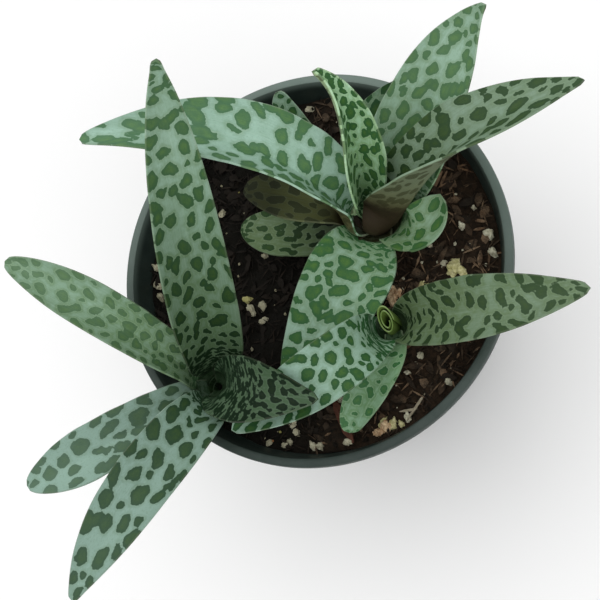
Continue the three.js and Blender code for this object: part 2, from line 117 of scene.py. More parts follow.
LEAVES = {
    "leaf_a1": dict(
        USUAL_LEAF, bulb="a", angle=30, ring=6.6, out=2.5, up=12, bend=(43, 47, 101), tip=(53.5, 50.5, 113),
        half=11.5, belly=0.4, taper=2, blunt=0.8, roll=(-8, 0), fold=(20, 8),
        clasp=38, bloom=(0.45, 0.8), shade=(1.02, 1.07), warm=0.1, spot=1.5, long=1.3, apart=0.7, slant=20,
        stripes=0.25, foot_slant=90, faint=(0.12, 0.22),
    ),
    "leaf_a2": dict(
        USUAL_LEAF, bulb="a", angle=-38, ring=4.2, out=7, up=9, bend=(35, 22.5, 106.5), tip=(75.5, 29, 112),
        half=11, belly=0.55, taper=2.2, blunt=0.8, roll=(75, 0), fold=(85, 5),
        clasp=95, husk=0.3, bloom=(0.5, 0.75), shade=(0.71, 0.77), warm=0.25, spot=1.4, long=1.4,
        apart=0.45, slant=-25, stripes=0.2, foot_slant=60, faint=(0, 0.08),
    ),
    "leaf_a3": dict(
        USUAL_LEAF, bulb="a", angle=125, ring=3, out=0.5, up=14, bend=(23, 30, 110), tip=(15, 34.5, 124),
        half=9.4, belly=0.5, taper=1.35, blunt=0.8, roll=(-45, -30), fold=(55, 35), curl=25,
        clasp=60, husk=0, bloom=(0.15, 0.5), shade=(1.85, 1.95), warm=0.12, spot=1.2, long=1.25, apart=0.26,
    ),
    "leaf_a4": dict(
        USUAL_LEAF, bulb="a", angle=70, ring=6.6, out=3, up=4, bend=(18.5, 34, 86.5), tip=(30, 43.5, 93),
        half=10.5, belly=0.55, taper=1.6, blunt=1, roll=(-14, -5), fold=(14, 6), curl=14,
        clasp=32, bloom=(0.2, 0.5), shade=(0.7, 0.8), spot=1.35, long=1.3, apart=0.45, stripes=0.1,
    ),
    "leaf_a5": dict(
        USUAL_LEAF, bulb="a", angle=175, ring=4.9, out=5, up=11, bend=(-2, 36, 105), tip=(-57, 32.5, 105),
        half=12.4, belly=0.45, taper=2.6, blunt=1.6, roll=(-45, 0), fold=(42, 12), curl=25,
        clasp=85, bloom=(0.85, 1), shade=(1.06, 1.08), spot=1.95, long=1.9, apart=0.6, slant=35,
        stripes=0.12, foot_slant=60, faint=(0.08, 0.2),
    ),
    "leaf_a6": dict(
        USUAL_LEAF, bulb="a", angle=-38, ring=7, out=3, up=6, bend=(31, -0.4, 86), tip=(37.6, 12.8, 90),
        half=5.8, belly=0.55, taper=4, blunt=2.4, roll=(12, 0), fold=(18, 8),
        clasp=42, husk=0.1, bloom=(0.1, 0.45), shade=(1.06, 1.08), warm=0.15, spot=1.3, long=1.2, apart=0.5,
        stripes=0.15, foot_slant=60,
    ),
    # leaf_a7 lies under leaf_a5, and its shade falls towards its tip as painted shadow.
    "leaf_a7": dict(
        USUAL_LEAF, bulb="a", angle=165, ring=6.8, out=4, up=7, bend=(-9, 18, 89), tip=(-16, 20.5, 88),
        half=8.4, belly=0.5, taper=1.6, blunt=1.5, roll=(-20, -8), fold=(14, 8),
        clasp=35, husk=0.3, bloom=(-0.2, 0), shade=(0.8, 0.22), warm=1, spot=1.45, long=1.2, apart=0.5,
        stripes=0.1, faint=(0.35, 0.45),
    ),
    "leaf_a8": dict(
        USUAL_LEAF, bulb="a", angle=-103, ring=6.8, out=3, up=4, bend=(1.1, -24.2, 83), tip=(-8, -36.5, 79),
        half=11.7, belly=0.35, taper=1.8, blunt=1, roll=(17, 10), fold=(10, 6),
        clasp=58, husk=0.03, bloom=(0.4, 0.8), shade=(1.02, 1.02), warm=0.05, spot=1.6, long=1.7, apart=0.4,
        slant=80, stripes=0.12, foot_slant=90,
    ),
    "leaf_a10": dict(
        USUAL_LEAF, bulb="a", angle=127, ring=6.6, out=2, up=9, bend=(-6, 37, 88), tip=(-4, 44.8, 93),
        half=4.2, belly=0.6, taper=2.4, blunt=1.2, fold=(20, 8),
        clasp=26, bloom=(0.1, 0.6), shade=(0.75, 0.85), spot=1.1, long=1.3, apart=0.5,
    ),
    "leaf_a11": dict(
        USUAL_LEAF, bulb="a", angle=210, ring=6.8, out=4, up=0.7, bend=(-10.6, 8.4, 79),
        tip=(-20.3, 13.2, 78.5), half=6.5, belly=0.6, taper=2.3, blunt=2, roll=(-4, 0), fold=(8, 6),
        curl=12, clasp=32, husk=0.1, bloom=(0, 0.3), shade=(0.12, 0.86), warm=0.3, spot=1.15, long=1.9,
        apart=0.45, slant=-30,
    ),
    "leaf_b1": dict(
        USUAL_LEAF, bulb="b", angle=70, ring=4.7, out=1.5, up=14, bend=(-23, 29, 122), tip=(-20, 36.5, 136),
        half=11, belly=0.32, taper=1.9, blunt=1, roll=(-30, -20), fold=(34, 14), curl=24,
        clasp=62, bloom=(0.05, 0.85), shade=(0.42, 0.98), warm=0.1, spot=1.6, long=1.6, apart=0.6, slant=70,
        stripes=0.16, foot_slant=85, faint=(0, 0.15),
    ),
    "leaf_b2": dict(
        USUAL_LEAF, bulb="b", angle=147, ring=4.7, out=3, up=9, bend=(-51, -12, 100), tip=(-77, 0.5, 106),
        half=7.2, belly=0.58, taper=2.8, blunt=1.8, roll=(-25, 0), fold=(30, 12), curl=20,
        clasp=45, bloom=(0.2, 0.6), shade=(0.75, 0.95), warm=0.1, spot=1.3, long=1.3, apart=0.65, slant=10,
        stripes=0.1, faint=(0.15, 0.42),
    ),
    "leaf_b3": dict(
        USUAL_LEAF, bulb="b", angle=206, ring=4.7, out=4, up=5, bend=(-60, -53, 91), tip=(-74.5, -58, 93),
        half=7.8, belly=0.65, taper=2, blunt=1.8, roll=(8, 4), fold=(22, 10),
        clasp=45, bloom=(0.9, 1.3), shade=(0.7, 0.77), spot=1.7, long=1.4, apart=0.65, slant=20,
        stripes=0.1, foot_slant=30, faint=(0.2, 0.3),
    ),
    "leaf_b4": dict(
        USUAL_LEAF, bulb="b", angle=272, ring=4.7, out=3, up=10, bend=(-45, -66, 102),
        tip=(-53.5, -87, 104), half=9, belly=0.45, taper=2.6, blunt=1, roll=(15, 8), fold=(26, 10), curl=20,
        clasp=55, bloom=(0.8, 1.2), shade=(0.64, 0.7), spot=1.9, long=1.4, apart=0.75, slant=-20,
        stripes=0.15, foot_slant=60, faint=(0.06, 0.16),
    ),
    "leaf_b5": dict(
        USUAL_LEAF, bulb="b", angle=-14, ring=3.4, out=2, up=10, bend=(-14, -37, 99), tip=(8, -39, 98),
        half=9, belly=0.58, taper=1.9, blunt=1.2, fold=(22, 10),
        clasp=110, draw_in=0.7, bloom=(0.1, 0.2), shade=(0.52, 0.42), spot=1.1, long=1.5, apart=0.35,
        slant=30, stripes=0.68, foot_slant=90,
    ),
    "leaf_c1": dict(
        USUAL_LEAF, bulb="c", angle=5, ring=3.7, out=3, up=6, bend=(46, -20, 96), tip=(73.5, -17, 102),
        half=8.8, belly=0.5, taper=2.6, blunt=1.4, fold=(26, 10), curl=20,
        clasp=85, draw_in=0.35, bloom=(0, 0.6), shade=(0.52, 0.73), warm=0.3, spot=1.3, long=2.3,
        apart=0.65, slant=80, stripes=0.06, foot_slant=90, faint=(0, 0.15),
    ),
    "leaf_c2": dict(
        USUAL_LEAF, bulb="c", angle=213, ring=3.9, out=1.5, up=11, bend=(14, -32.4, 99), tip=(-18, -45, 90),
        half=7.8, belly=0.6, taper=2.6, blunt=1.5, roll=(36, 0), fold=(12, 8), curl=16,
        clasp=75, draw_in=0.35, husk=0.03, bloom=(0.6, 0.9), shade=(0.88, 0.88), spot=1.4, long=1.3,
        apart=0.6, slant=-50, stripes=0.26, foot_slant=90,
    ),
    "leaf_c3": dict(
        USUAL_LEAF, bulb="c", angle=281, ring=4.2, out=4, up=1.5, bend=(10.7, -39.3, 81),
        tip=(10, -45.5, 77.5), half=5.2, belly=0.5, taper=2, blunt=1.8, fold=(12, 8), curl=14,
        clasp=35, bloom=(0.1, 0.35), shade=(1.35, 1.23), spot=0.95, long=1.5, apart=0.75, slant=60,
        foot_slant=60, faint=(0, 0.1),
    ),
}
# How thick a leaf is at its foot, how far its sheath runs down into the neck, the size of a blade's faces
# and how much closer they lie at its foot
RIB_THICKNESS = 1.3
ROOTED = 2.5
LEAF_STEP = 0.42
FOOT_CLOSER = 0.35
# The ripple along a blade's edges, how far its tip is drawn back, how thick its edge is as a share of its
# middle, and how much painted light lightens its sheath down in the neck, where shade falls
RIPPLE = 0.5
TIP_BACK = 0.35
EDGE_SHARE = 0.45
NECK_PAINTED_LIGHT = 1.6
# The steps that measure a rib's length, and how far apart the leaves' flattened maps lie, in centimetres
RIB_STEPS = 60
MAP_STEP = 4
# Half the width and half the length of a stripe, and the gap between stripes
STRIPES = {"wide": 0.42, "long": (1.4, 3), "gap": 0.24}
# The share of the blotches that are tried first and large, and how often one grows a lobe
LARGE_FIRST = 0.3
LOBES = 0.22

# The rolled young leaf. slack is the gap between its wraps, narrow how narrow its top is, slant how much
# lower its front is, dip how much lower each wrap inside it is, and root how far it reaches into the neck.
BUD = {
    "height": 13, "radius": 2.85, "wide": 0.82, "deep": 1.12, "blade": 0.34, "slack": 0.46, "turns": 2,
    "narrow": 0.95, "slant": 0.66, "back": 0.4, "dip": 0.35, "root": 1.5,
}

# Litter on the soil: how far out it lies and how clear of the bulbs, its sizes, its tilt and its lift
CHIP = {
    "reach": 48, "clear": 1.5, "long": (2, 5.5), "wide": (1, 2.4), "thick": (0.5, 1.2), "tilt": 0.5,
    "lift": (-0.2, 0.5),
}
SLIVER = {
    "reach": 49, "clear": 0.8, "long": (1.3, 5), "wide": (0.22, 0.6), "thick": (0.2, 0.45), "tilt": 0.35,
    "lift": (0, 0.8),
}
CRUMB = {"reach": 49, "clear": 0.2, "size": (0.5, 2)}
SPECK = {"reach": 48, "clear": 1, "size": (0.3, 0.9)}
# How far above the soil the middle of a pale chip, a twig or the stalk lies
LYING = 0.9
# Grains in the soil, as x, y and size
WHITE_GRAINS = [
    (40, 9, 2.4), (49, 5.5, 3.2), (48, 1, 2.5), (35, -1, 1.8), (43, 14, 1.5), (38, 4, 1), (5.5, -36, 2.4),
    (-7, -42, 2.1), (-6, -44, 1.9), (-8, -46.5, 2.1), (-14, -46.5, 1.6), (-9.5, -48, 2), (25.5, -43.5, 2.6),
    (8.5, -47.5, 2.4), (-1, -48.5, 2.4), (1, -48.5, 2.2), (-19, -10, 3), (-16, -9, 2.6), (-15.5, -13, 2.4),
    (-18.5, -21, 1), (-15.5, 5.5, 1.5), (-47.5, 4.5, 2.6), (-48, -0.5, 2.8), (-47, -4, 2.2),
    (-41, -28, 2.4), (28, -25, 2.5), (24.5, -29.5, 1.6), (27, -27.5, 1.3), (31, 4.5, 1.5),
    (-28.5, 19, 2.5), (31.5, 13.5, 1.2), (-2, 47, 2.6), (40, -20, 2), (-35, 25, 2.4), (33, 28, 2.2),
    (-8, 33, 2.2), (36, -33, 2.2),
]
CREAM_GRAINS = [
    (37.8, -2.2, 4.2), (39.8, -3.8, 2.4), (28.5, -6.5, 2.5), (30.5, -6.5, 1.6), (17.5, -42, 2.8),
    (21, -44.5, 3.3), (-20, -7, 2.4), (22.5, -43, 2),
]
TAN_GRAINS = [(20.8, -7.3, 3.6), (21.2, -10.2, 3.4), (16.5, -45.8, 3), (18.8, -45, 3.4), (22.3, -8.6, 2.8)]
# Pale chips of bark, as x, y, length, width and turn in degrees
PALE_CHIPS = [
    (45, 9.5, 3, 0.8, -10), (44.5, 7.3, 2.8, 0.7, 5), (33.6, 22, 6, 0.9, 62), (35.2, 22.5, 5, 0.8, 66),
    (44.5, -0.5, 4.2, 1.3, 85), (29, 9, 2.2, 1.8, 40), (31.5, 8, 2, 1.5, 70), (34, 16, 2.4, 0.7, -30),
]
# Thin twigs and the dead stalk, as start, end, width and thickness
TWIGS = [((29, -35), (24, -42), 0.7, 0.7), ((26.5, -39), (22, -39.5), 0.7, 0.7)]
STALK = ((5, -36), (9.7, -47), 2.6, 1.4)

CAMERA = {"distance": 300, "tilt": 22, "turn": -37, "aim": (-2.6, -9.8, 80), "lens": 67.86}
# Lights, as place and size in metres and share of the key light's power
LIGHTS = {
    "key_light": ((-0.16, 0.18, 0.8), 1.4, 1),
    "fill_light": ((0.5, -0.5, 0.6), 0.9, 0.42),
}
# The side of the floor, in metres
FLOOR_SIZE = 6


def mix(low, high, share):
    return low + (high - low) * share


def smooth(value, low, high):
    """0 below low, 1 above high, and an even curve between."""
    share = min(1, max(0, (value - low) / (high - low)))
    return share * share * (3 - 2 * share)


def shown(*tone):
    """A colour as seen on a screen, 0 to 255, as Blender's own linear values."""
    shares = [part / 255 for part in tone]
    return tuple(share / 12.92 if share <= 0.04 else ((share + 0.055) / 1.055) ** 2.4 for share in shares)


def inside_radius(height):
    """The pot's inner radius at a height."""
    return mix(BASE_RADIUS - WALL, RIM_RADIUS - RIM_WIDTH, (height - FLOOR) / (POT_HEIGHT - FLOOR))


def from_bulb(x, y, bulb):
    """How far a place is from a bulb's side, seen from above."""
    return math.hypot(x - bulb["x"], y - bulb["y"]) - bulb["swell"]


def soil_height(x, y):
    """The height of the soil: the part's own heaps and hollows, a finer crumb and a rise at each bulb."""
    heaps = math.sin(x / 6.1 + 1) * math.cos(y / 7.3) + 0.6 * math.sin(x / 2.9 - y / 3.7) - 0.2
    crumb = SOIL_CRUMB * noise.fractal(Vector((x / 4, y / 4, 3)), 0.6, 2.2, 4)
    collar = sum(
        COLLAR["rise"] * math.exp(-((max(0, from_bulb(x, y, bulb)) / COLLAR["reach"]) ** 2))
        for bulb in BULBS.values()
    )
    return SOIL_TOP + SOIL_RELIEF * heaps + crumb + collar


def colour_setting(name, description, *tone):
    """A colour for the sidebar, with its default as seen on a screen."""
    return bpy.props.FloatVectorProperty(
        name=name, description=description, subtype="COLOR", default=shown(*tone)
    )


def count_setting(name, description, default, high, low=0):
    """A whole number for the sidebar."""
    return bpy.props.IntProperty(name=name, description=description, default=default, min=low, max=high)


class SquillPotSettings(bpy.types.PropertyGroup):
    sides: count_setting("Sides", "Facets round the pot", 180, 400, 24)
    plastic: colour_setting("Plastic", "Colour of the pot", 25, 37, 33)
    # The dust colour is real dust on the rim and wall, and also the painted sheen that lightens the lip
    # towards the back.
    dust: colour_setting("Dust", "Dry dust on the rim and wall", 108, 124, 116)


class SquillSoilSettings(bpy.types.PropertyGroup):
    peat: colour_setting("Peat", "Colour of the damp mix", 13, 12, 7)
    bark: colour_setting("Bark", "Colour of the dry bark", 138, 118, 94)
    grain: colour_setting("White grain", "Colour of the perlite", 216, 214, 190)
    tan_grain: colour_setting("Tan grain", "Colour of the tan grains", 255, 232, 190)
    cream_grain: colour_setting("Cream grain", "Colour of the cream grains", 214, 210, 164)
    chips: count_setting("Chips", "Flat chips of bark", 420, 1000)
    fibres: count_setting("Fibres", "Thin slivers of bark", 1700, 2000)
    crumbs: count_setting("Crumbs", "Small crumbs of peat", 900, 3000)


class SquillLeafSettings(bpy.types.PropertyGroup):
    edge: bpy.props.FloatProperty(
        name="Edge", description="Thickness at the leaf's edge", unit="LENGTH", default=0.5 * MM
    )
    silver: colour_setting("Silver", "Ground of a silvery leaf", 151, 182, 167)
    green: colour_setting("Green", "Ground round the spots and of a dull leaf", 90, 122, 86)
    spot: colour_setting("Spot", "Dark green of the spots", 44, 86, 49)
    husk: colour_setting("Husk", "Brown of the sheath at a leaf's foot", 40, 31, 18)
    heart: colour_setting("Heart", "Dark green of a sheath that isn't brown", 28, 44, 26)
    under: colour_setting("Underside", "Dull olive of the underside", 70, 66, 38)
    olive: colour_setting("Olive", "Tint of a warm leaf", 128, 134, 82)


class SquillStageSettings(bpy.types.PropertyGroup):
    floor: bpy.props.FloatVectorProperty(
        name="Floor", description="Colour of the floor", subtype="COLOR", default=(0.9, 0.9, 0.9)
    )
    key: bpy.props.FloatProperty(
        name="Key light", description="Power of the soft key light", unit="POWER", default=8.6
    )
    sky: bpy.props.FloatProperty(name="Sky", description="Strength of the even light", default=0.37)


def select_none():
    if bpy.context.object and bpy.context.object.mode != "OBJECT":
        bpy.ops.object.mode_set(mode="OBJECT")
    bpy.ops.object.select_all(action="DESELECT")


def select_only(piece):
    select_none()
    piece.select_set(True)
    bpy.context.view_layer.objects.active = piece


def edit_all():
    """Opens the active piece in edit mode with all of it selected."""
    bpy.ops.object.mode_set(mode="EDIT")
    bpy.ops.mesh.select_all(action="SELECT")


def just_added(name):
    made = bpy.context.active_object
    made.name = name
    made.data.name = name
    return made


def apply_modifier(piece, kind, **settings):
    select_only(piece)
    modifier = piece.modifiers.new(kind.title(), kind)
    for key, value in settings.items():
        setattr(modifier, key, value)
    bpy.ops.object.modifier_apply(modifier=modifier.name)


def smooth_faces(piece, angle):
    select_only(piece)
    bpy.ops.object.shade_smooth_by_angle(angle=math.radians(angle))


def paint(piece, *materials):
    piece.data.materials.clear()
    for material in materials:
        piece.data.materials.append(material)


def keep_values(piece, name, values, kind="FLOAT", field="value"):
    """A named value on every point of a piece, which its materials read."""
    attribute = piece.data.attributes.new(name, kind, "POINT")
    attribute.data.foreach_set(field, values)


def finish_piece(piece, replaced=()):
    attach(piece, "root")
    if replaced:
        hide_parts(*replaced)


def turned(name, profile, sides, centre=(0, 0)):
    """A closed body of revolution, drawn up ring by ring from a circle. A profile is (radius, height)."""
    select_none()
    radius, height = profile[0]
    middle = (centre[0] * MM, centre[1] * MM)
    bpy.ops.mesh.primitive_circle_add(vertices=sides, radius=radius * MM, location=(*middle, height * MM))
    made = just_added(name)
    edit_all()
    bpy.ops.mesh.edge_face_add()
    for next_radius, next_height in profile[1:]:
        rise = (0, 0, (next_height - height) * MM)
        bpy.ops.mesh.extrude_region_move(TRANSFORM_OT_translate={"value": rise})
        share = next_radius / radius
        bpy.ops.transform.resize(value=(share, share, 1), center_override=(*middle, next_height * MM))
        radius, height = next_radius, next_height
    bpy.ops.mesh.select_all(action="SELECT")
    bpy.ops.mesh.normals_make_consistent(inside=False)
    bpy.ops.object.mode_set(mode="OBJECT")
    select_only(made)
    bpy.ops.object.transform_apply(location=True, rotation=True, scale=True)
    return made


def fill(tree, node, inputs):
    """Gives a node's sockets a plain value or another node's output.

    A key is a socket's number or its name, in which _ stands for a space.
    """
    for key, value in inputs.items():
        socket = node.inputs[key.replace("_", " ") if isinstance(key, str) else key]
        if isinstance(value, bpy.types.NodeSocket):
            tree.links.new(value, socket)
        else:
            socket.default_value = value


def add_node(tree, kind, settings=None, **inputs):
    made = tree.nodes.new(kind)
    for key, value in (settings or {}).items():
        setattr(made, key, value)
    fill(tree, made, inputs)
    return made


def mixed(tree, share, low, high):
    """A colour between two others."""
    made = add_node(tree, "ShaderNodeMix", {"data_type": "RGBA"})
    ends = [end if isinstance(end, bpy.types.NodeSocket) else (*end, 1) for end in (low, high)]
    fill(tree, made, {0: share, 6: ends[0], 7: ends[1]})
    return made.outputs[2]


def calculated(tree, operation, first, second, clamp=False):
    made = add_node(tree, "ShaderNodeMath", {"operation": operation, "use_clamp": clamp})
    fill(tree, made, {0: first, 1: second})
    return made.outputs[0]


def times(tree, first, second, clamp=False):
    return calculated(tree, "MULTIPLY", first, second, clamp)


def plus(tree, first, second, clamp=False):
    return calculated(tree, "ADD", first, second, clamp)


def ranged(tree, value, low, high, start=0, end=1):
    """Carries low..high over to start..end on an even curve."""
    made = add_node(
        tree, "ShaderNodeMapRange", {"interpolation_type": "SMOOTHSTEP"},
        Value=value, From_Min=low, From_Max=high, To_Min=start, To_Max=end,
    )
    return made.outputs[0]


def noise_of(tree, vector, scale, detail=2, roughness=0.5):
    made = add_node(
        tree, "ShaderNodeTexNoise", None, Vector=vector, Scale=scale, Detail=detail, Roughness=roughness
    )
    return made.outputs["Fac"]


def stretched(tree, vector, across, along, up=1):
    return add_node(tree, "ShaderNodeMapping", None, Vector=vector, Scale=(across, along, up)).outputs[0]


def object_place(tree):
    return add_node(tree, "ShaderNodeTexCoord").outputs["Object"]


def attribute_of(tree, name, output="Fac"):
    return add_node(tree, "ShaderNodeAttribute", {"attribute_name": name}).outputs[output]


def parts_of(tree, vector):
    return add_node(tree, "ShaderNodeSeparateXYZ", None, Vector=vector).outputs


def bumped(tree, height, strength, distance):
    made = add_node(tree, "ShaderNodeBump", None, Height=height, Strength=strength, Distance=distance)
    return made.outputs["Normal"]


def effect(tree, name, build, **inputs):
    """Places a node group that the materials share, and builds it when it is first asked for."""
    group = bpy.data.node_groups.get(name)
    if not group:
        group = bpy.data.node_groups.new(name, "ShaderNodeTree")
        for label in inputs:
            kind = "NodeSocketVector" if label == "Vector" else "NodeSocketFloat"
            group.interface.new_socket(label, in_out="INPUT", socket_type=kind)
        group.interface.new_socket("Value", in_out="OUTPUT", socket_type="NodeSocketFloat")
        enter = group.nodes.new("NodeGroupInput")
        leave = group.nodes.new("NodeGroupOutput")
        group.links.new(build(group, enter.outputs), leave.inputs[0])
    return add_node(tree, "ShaderNodeGroup", {"node_tree": group}, **inputs).outputs[0]


def mottled(tree, vector, scale, low=0, high=1):
    """A patchy value between low and high: large patches broken by small ones."""

    def build(group, given):
        large = noise_of(group, given["Vector"], given["Scale"], 4, 0.6)
        small = noise_of(group, given["Vector"], times(group, given["Scale"], 5.3), 3, 0.6)
        both = plus(group, times(group, large, 0.65), times(group, small, 0.35))
        return ranged(group, both, 0.32, 0.68, given["Low"], given["High"])

    return effect(tree, "squill_mottle", build, Vector=vector, Scale=scale, Low=low, High=high)


def new_material(name):
    """An empty node material: its tree and its Principled BSDF."""
    made = bpy.data.materials.new(name)
    made.use_nodes = True
    return made, made.node_tree, made.node_tree.nodes["Principled BSDF"]


def pot_material(settings):
    made, tree, bsdf = new_material("pot_plastic")
    place = object_place(tree)
    dust = mottled(tree, place, 45, 0.06, 0.16)
    parts = parts_of(tree, place)
    # The lip grows lighter towards the back as painted sheen, in the dust colour, on top of the real dust.
    lip = ranged(tree, parts["Z"], (POT_HEIGHT - LIP_HEIGHT) * MM, POT_HEIGHT * MM)
    far = ranged(tree, parts["Y"], -RIM_RADIUS * MM, RIM_RADIUS * MM, 0, 0.8)
    share = plus(tree, dust, times(tree, lip, far), clamp=True)
    fill(tree, bsdf, {
        "Base Color": mixed(tree, share, settings.plastic, settings.dust),
        "Roughness": mottled(tree, place, 160, 0.42, 0.6),
        "Normal": bumped(tree, noise_of(tree, place, 1400, 3), 0.25, 0.0002),
        "IOR": 1.46,
        "Specular IOR Level": 0.3,
    })
    return made


class SQUILL_OT_pot(bpy.types.Operator):
    """Turn the thin-walled nursery pot with its lip and drain holes"""

    bl_idname = "squill.pot"
    bl_label = "Pot"

    def execute(self, context):
        settings = context.scene.squill_pot
        under_lip = POT_HEIGHT - LIP_HEIGHT
        wall_under_lip = inside_radius(under_lip) + WALL
        top_inside = RIM_RADIUS - RIM_WIDTH
        profile = [
            (BASE_RADIUS - 0.8, 0),
            (BASE_RADIUS - 0.2, 0.2),
            (BASE_RADIUS, 0.8),
            (wall_under_lip, under_lip - 0.2),
            (wall_under_lip + 0.3, under_lip),
            (RIM_RADIUS - 0.4, under_lip),
            (RIM_RADIUS - 0.1, under_lip + 0.15),
            (RIM_RADIUS, under_lip + 0.5),
            (RIM_RADIUS, POT_HEIGHT - 0.6),
            (RIM_RADIUS - 0.2, POT_HEIGHT - 0.2),
            (RIM_RADIUS - 0.6, POT_HEIGHT),
            (top_inside + 0.5, POT_HEIGHT),
            (top_inside + 0.15, POT_HEIGHT - 0.15),
            (top_inside, POT_HEIGHT - 0.5),
            (inside_radius(under_lip), under_lip),
            (inside_radius(FLOOR + 0.6), FLOOR + 0.6),
            (inside_radius(FLOOR) - 0.6, FLOOR),
        ]
        pot = turned("pot_shell", profile, settings.sides)
        select_none()
        for index in range(DRAIN["holes"]):
            turn = index / DRAIN["holes"] * 2 * math.pi
            place = Vector((math.cos(turn), math.sin(turn), 0)) * DRAIN["ring"] * MM
            bpy.ops.mesh.primitive_cylinder_add(
                vertices=40, radius=DRAIN["radius"] * MM, depth=6 * FLOOR * MM, location=place
            )
            drill = just_added("drill")
            apply_modifier(pot, "BOOLEAN", operation="DIFFERENCE", object=drill, solver="EXACT")
            bpy.data.objects.remove(drill)
        paint(pot, pot_material(settings))
        smooth_faces(pot, 35)
        finish_piece(pot, ["pot"])
        return {"FINISHED"}


def soil_material(name, colour, light, rough, fine, depth, ruddy=None):
    """A crumbly matt finish whose colour changes from piece to piece by the tone attribute."""
    made, tree, bsdf = new_material(name)
    place = object_place(tree)
    share = times(tree, mottled(tree, place, fine, 0.1, 1), attribute_of(tree, "tone"), clamp=True)
    if ruddy:
        light = mixed(tree, mottled(tree, place, 110, 0, 1), light, ruddy)
    fill(tree, bsdf, {
        "Base Color": mixed(tree, share, colour, light),
        "Roughness": rough,
        "Specular IOR Level": 0.2,
        "Normal": bumped(tree, noise_of(tree, place, fine * 4, 4, 0.65), 0.7, depth),
    })
    return made


def dryness_and_shade(x, y):
    """How pale the soil is: darker between the leaves and on the left as painted shade, and paler on the
    right and in front, where the bark is drier.
    """
    return mix(SHADED_DAMP, 1, smooth(x + 0.25 * abs(y), 0, LIT_DRY_AT))


def random_shift(draw):
    return Vector((draw.uniform(0, 50), draw.uniform(0, 50), 0))


def rough_lump(name, draw, detail, jag):
    """A broken grain about 1 mm across, from an icosphere with its points moved in and out."""
    select_none()
    bpy.ops.mesh.primitive_ico_sphere_add(subdivisions=detail, radius=0.5)
    made = just_added(name)
    shift = random_shift(draw)
    squash = Vector((1, draw.uniform(0.7, 0.95), draw.uniform(0.6, 0.85)))
    for vertex in made.data.vertices:
        swell = 1 + jag * noise.fractal(vertex.co * 2.6 + shift, 0.8, 2, 3)
        vertex.co = vertex.co * squash * swell
    return made


def splinter(name, draw, cuts, bow):
    """A sliver about 1 mm long, wide and thick, with torn ends and a slight bow, from a subdivided cube."""
    select_none()
    bpy.ops.mesh.primitive_cube_add(size=1)
    made = just_added(name)
    edit_all()
    bpy.ops.mesh.subdivide(number_cuts=cuts)
    bpy.ops.object.mode_set(mode="OBJECT")
    shift = random_shift(draw)
    for vertex in made.data.vertices:
        along = vertex.co.x * 2
        narrow = 1 - 0.75 * abs(along) ** 3
        wobble = noise.noise_vector(vertex.co * 3 + shift) * 0.22
        vertex.co.y = (vertex.co.y + wobble.y) * narrow
        vertex.co.z = (vertex.co.z + wobble.z) * mix(narrow, 1, 0.4) + bow * (1 - along * along)
        vertex.co.x += wobble.x * 0.4
    return made


def set_tone(piece, value):
    keep_values(piece, "tone", [value] * len(piece.data.vertices))


def lay_out(name, patterns, places, material):
    """Copies of the patterns, each with its own mesh, joined as one piece. A place is (matrix, tone)."""
    copies = []
    for index, (matrix, tone) in enumerate(places):
        pattern = patterns[index % len(patterns)]
        copy = pattern.copy()
        copy.data = pattern.data.copy()
        copy.data.transform(matrix)
        set_tone(copy, tone)
        bpy.context.collection.objects.link(copy)
        copies.append(copy)
    select_none()
    for copy in copies:
        copy.select_set(True)
    bpy.context.view_layer.objects.active = copies[0]
    bpy.ops.object.join()
    made = just_added(name)
    paint(made, material)
    smooth_faces(made, 50)
    finish_piece(made)


def resting(x, y, sizes, turn, tilt, lift):
    """The matrix that lays a pattern of unit size on the soil."""
    ground = Vector((x, y, soil_height(x, y) + lift)) * MM
    spin = Matrix.Rotation(turn, 4, "Z") @ Matrix.Rotation(tilt, 4, "Y")
    return Matrix.Translation(ground) @ spin @ Matrix.Diagonal((*[size * MM for size in sizes], 1))


def free_spot(draw, reach, clear):
    """A place on the soil that is clear of the bulbs."""
    while True:
        radius = reach * math.sqrt(draw.random())
        turn = draw.uniform(0, 2 * math.pi)
        x, y = radius * math.cos(turn), radius * math.sin(turn)
        if all(from_bulb(x, y, bulb) > clear for bulb in BULBS.values()):
            return x, y


def strewn(draw, kind):
    """The matrix of one chip or sliver at a random place, and how pale it is there, by dryness and painted
    shade.
    """
    x, y = free_spot(draw, kind["reach"], kind["clear"])
    sizes = [draw.uniform(*kind[side]) for side in ("long", "wide", "thick")]
    turn = draw.uniform(0, math.pi)
    tilt = draw.uniform(-kind["tilt"], kind["tilt"])
    return resting(x, y, sizes, turn, tilt, draw.uniform(*kind["lift"])), dryness_and_shade(x, y)


def bar(name, start, end, width, thick):
    """A straight twig or stalk lying on the soil between two places."""
    start, end = Vector(start), Vector(end)
    middle = (start + end) / 2
    turn = math.atan2(end.y - start.y, end.x - start.x)
    made = splinter(name, random.Random(name), 3, 0)
    made.data.transform(resting(middle.x, middle.y, ((end - start).length, width, thick), turn, 0, LYING))
    set_tone(made, 0.6)
    return made


def lay_body(brim, peat):
    """The soil as one body with a heaped and crumbly top."""
    bottom = FLOOR + GAP
    profile = [(inside_radius(bottom) - GAP, bottom), (brim - 0.4, SOIL_TOP - 3), (brim, SOIL_TOP)]
    profile += [(brim * (1 - (step / SOIL_RINGS)), SOIL_TOP) for step in range(1, SOIL_RINGS)]
    body = turned("soil_body", profile, SOIL_SIDES)
    for vertex in body.data.vertices:
        if vertex.co.z > (SOIL_TOP - 1) * MM:
            vertex.co.z = soil_height(vertex.co.x / MM, vertex.co.y / MM) * MM
    # Painted shade darkens the body between the leaves and on the left.
    tones = [BODY_TONE * dryness_and_shade(vertex.co.x / MM, vertex.co.y / MM) for vertex in body.data.vertices]
    keep_values(body, "tone", tones)
    paint(body, peat)
    smooth_faces(body, 60)
    finish_piece(body, ["soil"])


